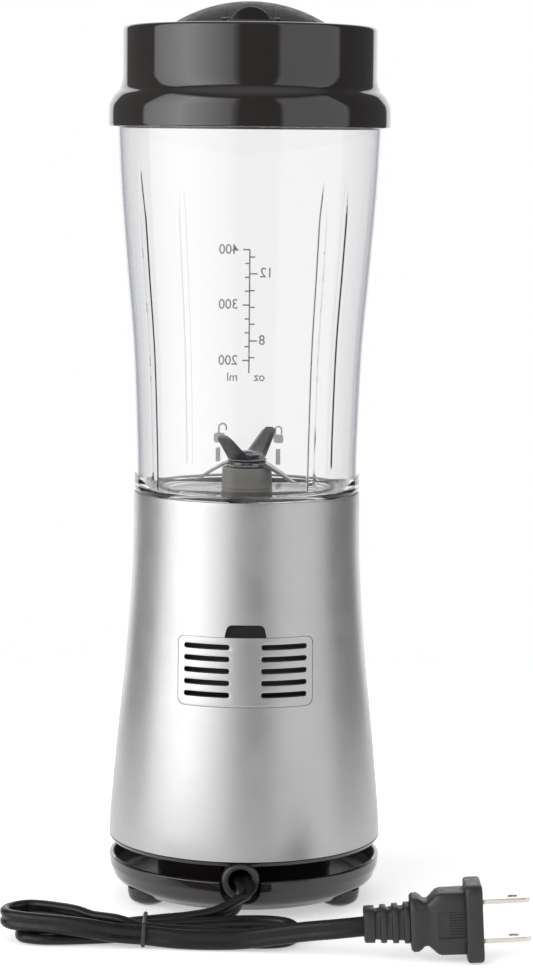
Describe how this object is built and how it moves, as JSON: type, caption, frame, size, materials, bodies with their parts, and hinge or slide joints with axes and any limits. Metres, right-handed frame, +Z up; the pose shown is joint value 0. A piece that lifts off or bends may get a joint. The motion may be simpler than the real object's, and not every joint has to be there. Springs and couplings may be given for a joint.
{
  "type": "countertop blender",
  "caption": "Slim personal blender: silver motor base with a cord-wrap tray, clear jar with built-in blades, black drinking lid with a hinged cap, and a short flat cord tied in a hank.",
  "frame": {"origin": "on the plane of the feet, under the axis of the motor and the jar", "axes": "+Z up along the motor axis, +Y towards the pulse button, -Y towards the vents and the cord outlet"},
  "size_m": [0.1713, 0.1402, 0.3059],
  "materials": {
    "silver_paint": "satin silver metallic paint over moulded plastic",
    "gloss_black": "polished black plastic",
    "satin_black": "satin black moulded plastic",
    "clear_jar": "crystal-clear moulded copolyester",
    "beige_hub": "fine matte beige-grey plastic",
    "stainless": "ground stainless steel",
    "zinc_steel": "zinc-plated steel",
    "lamination": "stacked electrical-steel laminations",
    "copper": "enamelled copper wire",
    "bronze": "sintered bronze",
    "carbon": "matte black phenolic and carbon",
    "black_rubber": "soft black rubber",
    "white_silicone": "translucent white silicone",
    "white_nylon": "natural white nylon",
    "cable_jacket": "satin black vinyl",
    "plug_vinyl": "matte black moulded vinyl",
    "nickel": "nickel-plated brass"
  },
  "bodies": {
    "base": {"base_core": "gloss_black", "spool_dish": "gloss_black", "foot_front": "black_rubber", "foot_left": "black_rubber", "foot_right": "black_rubber", "base_screw_1": "zinc_steel", "base_screw_2": "zinc_steel", "base_screw_3": "zinc_steel", "base_shell": "silver_paint", "vent_grille": "silver_paint", "drain_spout": "gloss_black", "jar_seat": "satin_black", "interlock_switch": "carbon", "motor_stator": "lamination", "field_coil_left": "copper", "field_coil_right": "copper", "lower_bracket": "zinc_steel", "upper_bracket": "zinc_steel", "lower_bearing": "bronze", "upper_bearing": "bronze", "motor_bolt_1": "zinc_steel", "motor_bolt_2": "zinc_steel", "motor_mount_1": "black_rubber", "motor_mount_2": "black_rubber", "carbon_brush_left": "carbon", "carbon_brush_right": "carbon", "button_spring": "stainless", "pulse_switch": "carbon", "cord_bushing": "gloss_black", "cord_clamp": "satin_black", "power_cord": "cable_jacket", "cord_hank": "cable_jacket", "cord_tie": "black_rubber", "power_cord_end": "cable_jacket", "plug_body": "plug_vinyl", "plug_blade_upper": "nickel", "plug_blade_lower": "nickel"},
    "lock": {"lock_ring": "white_nylon"},
    "motor": {"motor_shaft": "stainless", "motor_rotor": "lamination", "commutator": "copper", "cooling_fan": "white_nylon", "drive_coupling": "satin_black"},
    "button": {"pulse_button": "gloss_black"},
    "jar_assembly": {"jar": "clear_jar", "blade_hub": "beige_hub", "blade_bushing": "bronze", "shaft_seal": "black_rubber"},
    "blades": {"blade_down": "stainless", "blade_up": "stainless", "lower_washer": "stainless", "blade_nut": "stainless", "blade_shaft": "stainless", "jar_coupling": "satin_black"},
    "lid": {"travel_lid": "gloss_black", "lid_gasket": "white_silicone", "flip_cap_pin": "stainless"},
    "cap": {"flip_cap": "gloss_black"}
  },
  "joints": [
    {"name": "motor_spin", "type": "hinge", "parent": "base", "child": "motor", "pos_m": [0, 0, 0.06], "axis": [0, 0, 1], "continuous": true},
    {"name": "button_press", "type": "slide", "parent": "base", "child": "button", "axis": [0, -1, 0], "range_m": [0, 0.0025], "stiffness_N_per_m": 900, "springref_m": -0.0012, "deforming": ["button_spring"]},
    {"name": "jar_twist", "type": "hinge", "parent": "base", "child": "lock", "pos_m": [0, 0, 0.105], "axis": [0, 0, 1], "range_deg": [-20, 0]},
    {"name": "jar_lift", "type": "slide", "parent": "lock", "child": "jar_assembly", "axis": [0, 0, 1], "range_m": [0, 0.06]},
    {"name": "blade_spin", "type": "hinge", "parent": "jar_assembly", "child": "blades", "pos_m": [0, 0, 0.14], "axis": [0, 0, 1], "continuous": true},
    {"name": "lid_lift", "type": "slide", "parent": "jar_assembly", "child": "lid", "axis": [0, 0, 1], "range_m": [0, 0.04]},
    {"name": "cap_open", "type": "hinge", "parent": "lid", "child": "cap", "pos_m": [0, 0.0016, 0.2983], "axis": [1, 0, 0], "range_deg": [0, 90]}
  ],
  "couplings": [
    {"joint": "blade_spin", "follows": "motor_spin", "ratio": 1}
  ]
}
